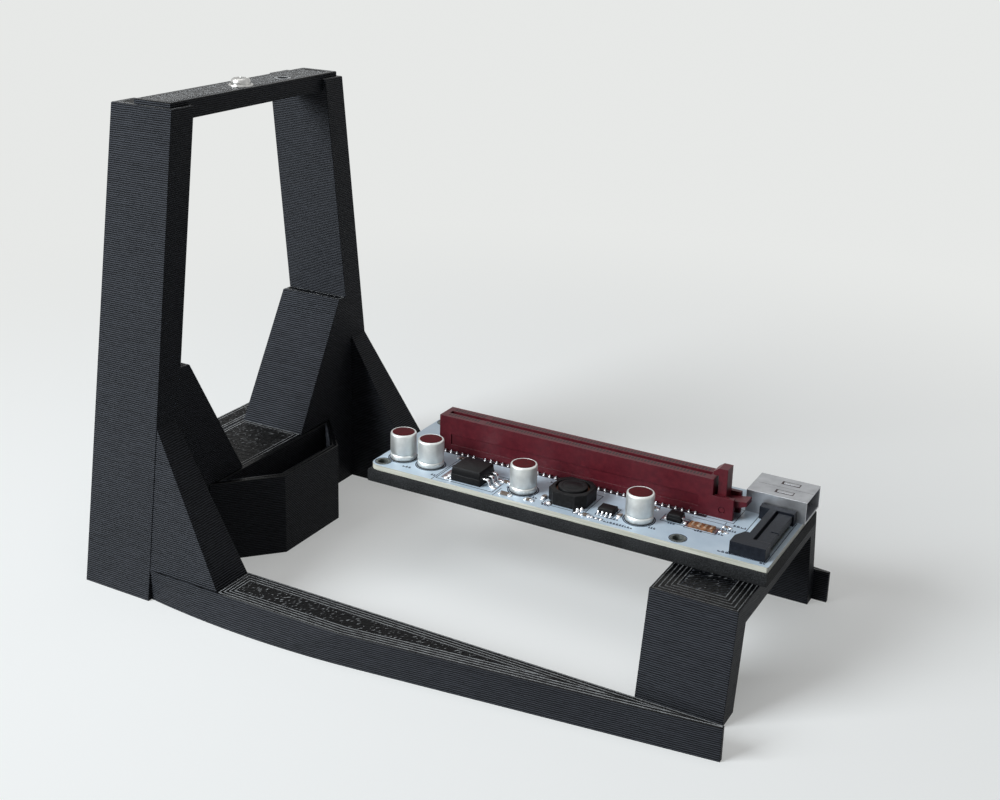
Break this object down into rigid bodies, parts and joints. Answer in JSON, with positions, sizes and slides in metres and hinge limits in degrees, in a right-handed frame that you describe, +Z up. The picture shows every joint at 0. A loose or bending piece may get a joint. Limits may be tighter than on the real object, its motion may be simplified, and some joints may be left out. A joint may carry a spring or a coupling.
{
  "type": "graphics card stand",
  "caption": "Leaning post-frame stand with a crossbar, tapering feet, a bracket pocket and a low bridge carrying a slot riser board, to hold an expansion card upright.",
  "frame": {"origin": "centre of the footprint, on the surface the stand rests on", "axes": "+Z up, +X along the card from the tower towards the tips of the feet, +Y from the front foot to the rear foot"},
  "size_m": [0.2046, 0.1212, 0.1462],
  "materials": {
    "printed_black": "satin",
    "foam_black": "matte",
    "board_white": "satin",
    "slot_red": "satin",
    "contact_gold": "polished",
    "can_aluminium": "satin",
    "chip_black": "satin",
    "tinned_metal": "bright",
    "ferrite_dark": "matte",
    "copper_wire": "enamelled",
    "fuse_amber": "satin",
    "chip_brown": "satin",
    "socket_black": "satin",
    "tongue_blue": "satin",
    "screw_steel": "bright"
  },
  "bodies": {
    "stand": {"front_post": "printed_black", "rear_post": "printed_black", "crossbar": "printed_black", "low_wall": "printed_black", "pocket": "printed_black", "front_foot": "printed_black", "rear_foot": "printed_black", "bridge": "printed_black", "pad": "foam_black", "board": "board_white", "slot_housing": "slot_red", "slot_contacts": "contact_gold", "capacitor_1": "can_aluminium", "capacitor_2": "can_aluminium", "capacitor_3": "can_aluminium", "capacitor_4": "can_aluminium", "regulator": "chip_black", "regulator_leads": "tinned_metal", "inductor": "ferrite_dark", "inductor_winding": "copper_wire", "controller": "chip_black", "controller_pins": "tinned_metal", "diode": "chip_black", "fuse": "fuse_amber", "small_parts": "chip_brown", "power_inlet": "socket_black", "power_contacts": "contact_gold", "data_socket": "tinned_metal", "data_tongue": "tongue_blue", "bracket_screw": "screw_steel"},
    "latch": {"slot_latch": "slot_red"}
  },
  "joints": [
    {"name": "latch_hinge", "type": "hinge", "parent": "stand", "child": "latch", "pos_m": [0.07865, 0.0145, 0.0385], "axis": [0, 1, 0], "range_deg": [0, 25]}
  ]
}
